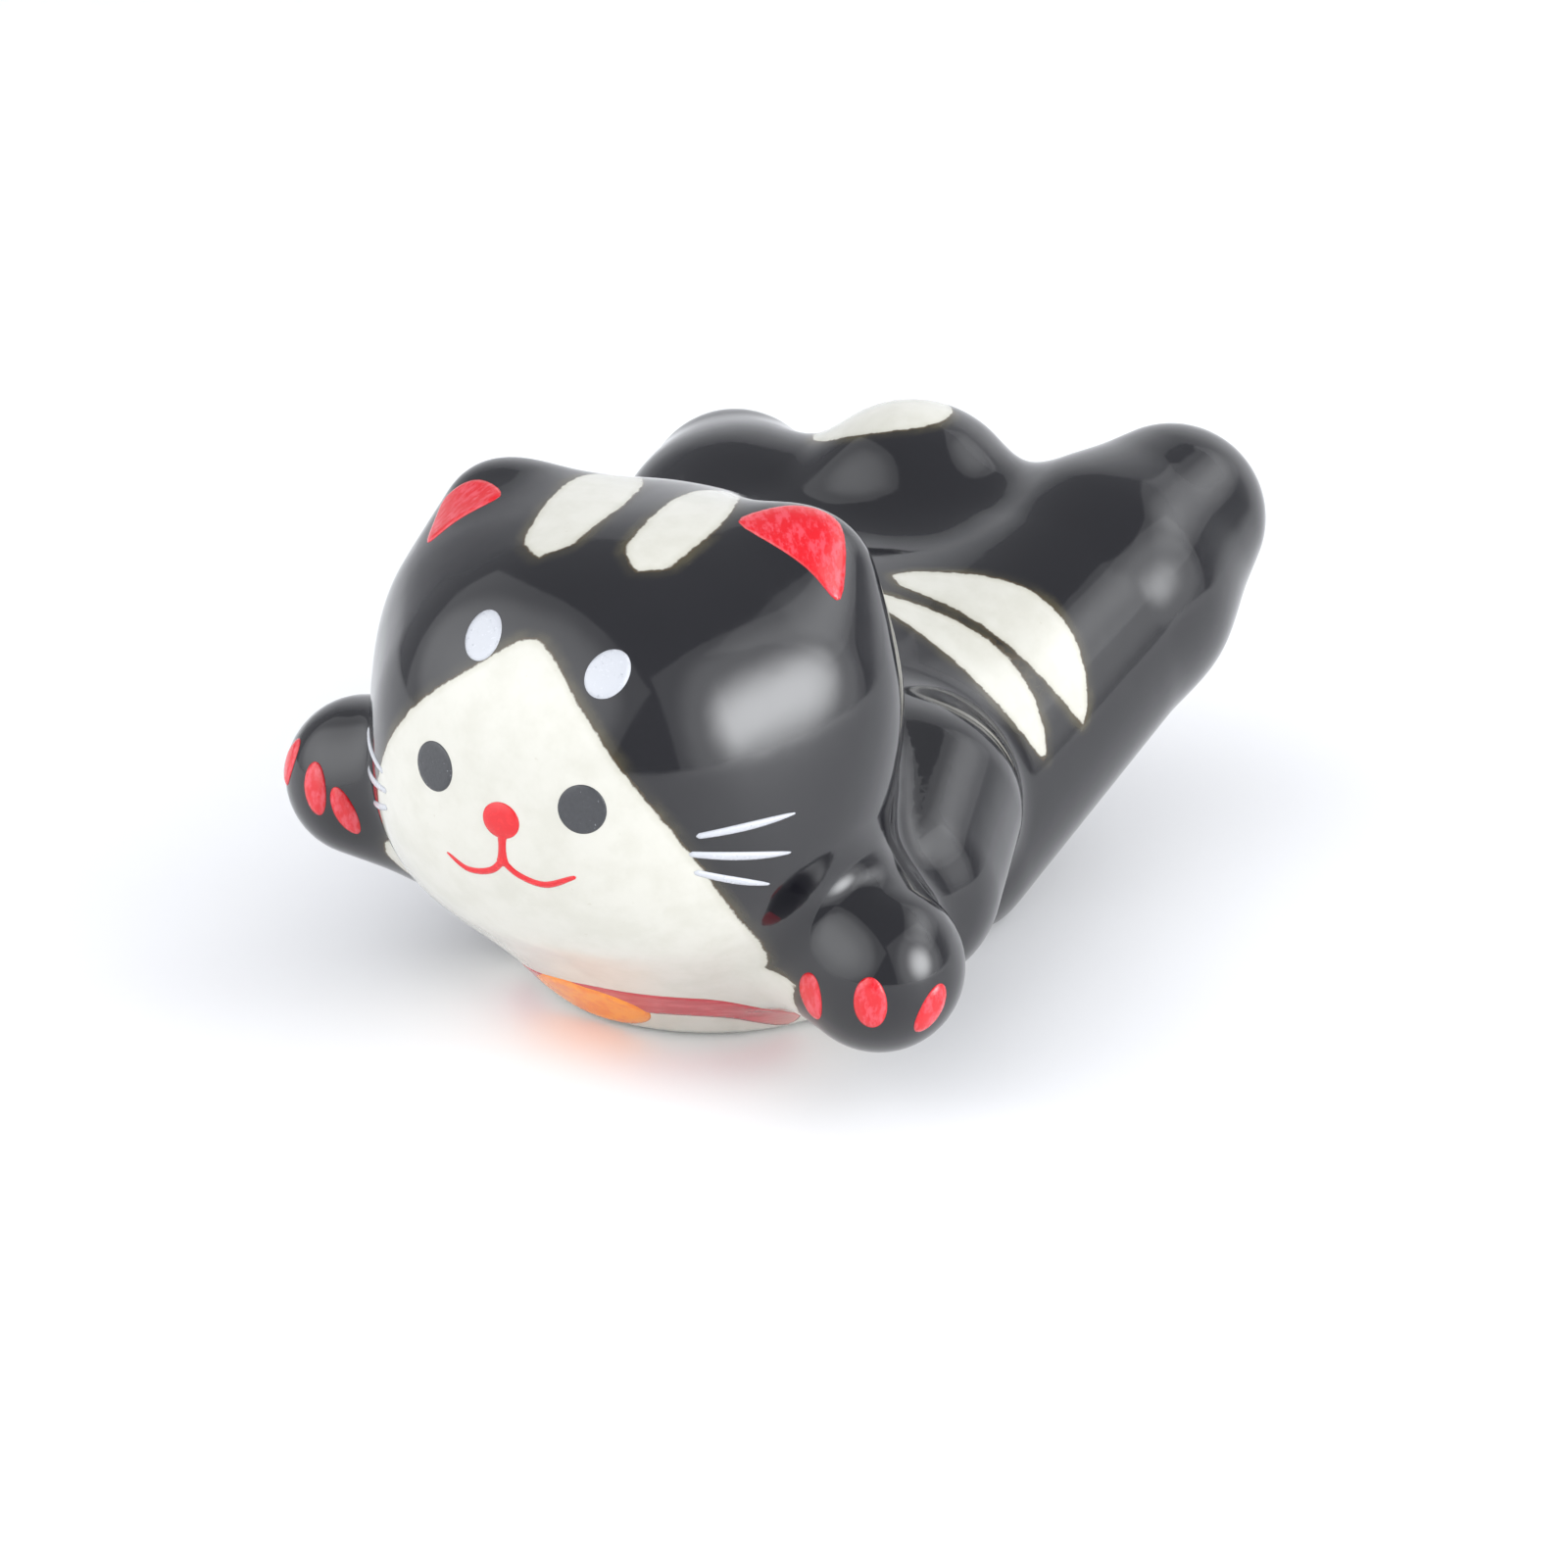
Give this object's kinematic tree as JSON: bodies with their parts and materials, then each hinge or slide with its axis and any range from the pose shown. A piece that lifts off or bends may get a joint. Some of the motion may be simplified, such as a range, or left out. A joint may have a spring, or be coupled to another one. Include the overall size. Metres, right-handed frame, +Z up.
{
  "type": "lying cat figurine",
  "caption": "Glazed porcelain cat lying on its belly with one forepaw raised a little, hind feet and tail lifted, and a flat belly to stand on.",
  "frame": {"origin": "on the ground under the middle of the whole figure's bounding box", "axes": "+X is the cat's left, -Y is the way its face points, +Z is up"},
  "size_m": [0.0404, 0.0632, 0.03],
  "materials": {
    "black_glaze": "gloss glaze, blue-black",
    "white_glaze": "gloss clear glaze over cream-white porcelain",
    "white_enamel": "gloss opaque overglaze white",
    "charcoal_enamel": "satin overglaze, slightly grainy",
    "red_enamel": "gloss overglaze",
    "rose_enamel": "gloss overglaze, thin and mottled",
    "collar_enamel": "gloss overglaze, thin",
    "orange_enamel": "gloss overglaze"
  },
  "bodies": {
    "root": {"head": "black_glaze", "torso": "black_glaze", "left_ear": "black_glaze", "right_ear": "black_glaze", "left_foreleg": "black_glaze", "right_foreleg": "black_glaze", "left_hind_leg": "black_glaze", "right_hind_leg": "black_glaze", "tail": "black_glaze", "white_face_mask": "white_glaze", "left_crown_stripe": "white_glaze", "right_crown_stripe": "white_glaze", "left_front_flank_stripe": "white_glaze", "left_rear_flank_stripe": "white_glaze", "right_front_flank_stripe": "white_glaze", "right_rear_flank_stripe": "white_glaze", "white_tail_tip": "white_glaze", "left_brow_dot": "white_enamel", "right_brow_dot": "white_enamel", "left_upper_whisker": "white_enamel", "left_middle_whisker": "white_enamel", "left_lower_whisker": "white_enamel", "right_upper_whisker": "white_enamel", "right_middle_whisker": "white_enamel", "right_lower_whisker": "white_enamel", "left_eye": "charcoal_enamel", "right_eye": "charcoal_enamel", "nose": "red_enamel", "mouth_line": "red_enamel", "left_inner_ear": "rose_enamel", "right_inner_ear": "rose_enamel", "left_inner_toe_pad": "rose_enamel", "left_middle_toe_pad": "rose_enamel", "left_outer_toe_pad": "rose_enamel", "right_inner_toe_pad": "rose_enamel", "right_middle_toe_pad": "rose_enamel", "right_outer_toe_pad": "rose_enamel", "collar": "collar_enamel", "bell": "orange_enamel"}
  },
  "joints": []
}
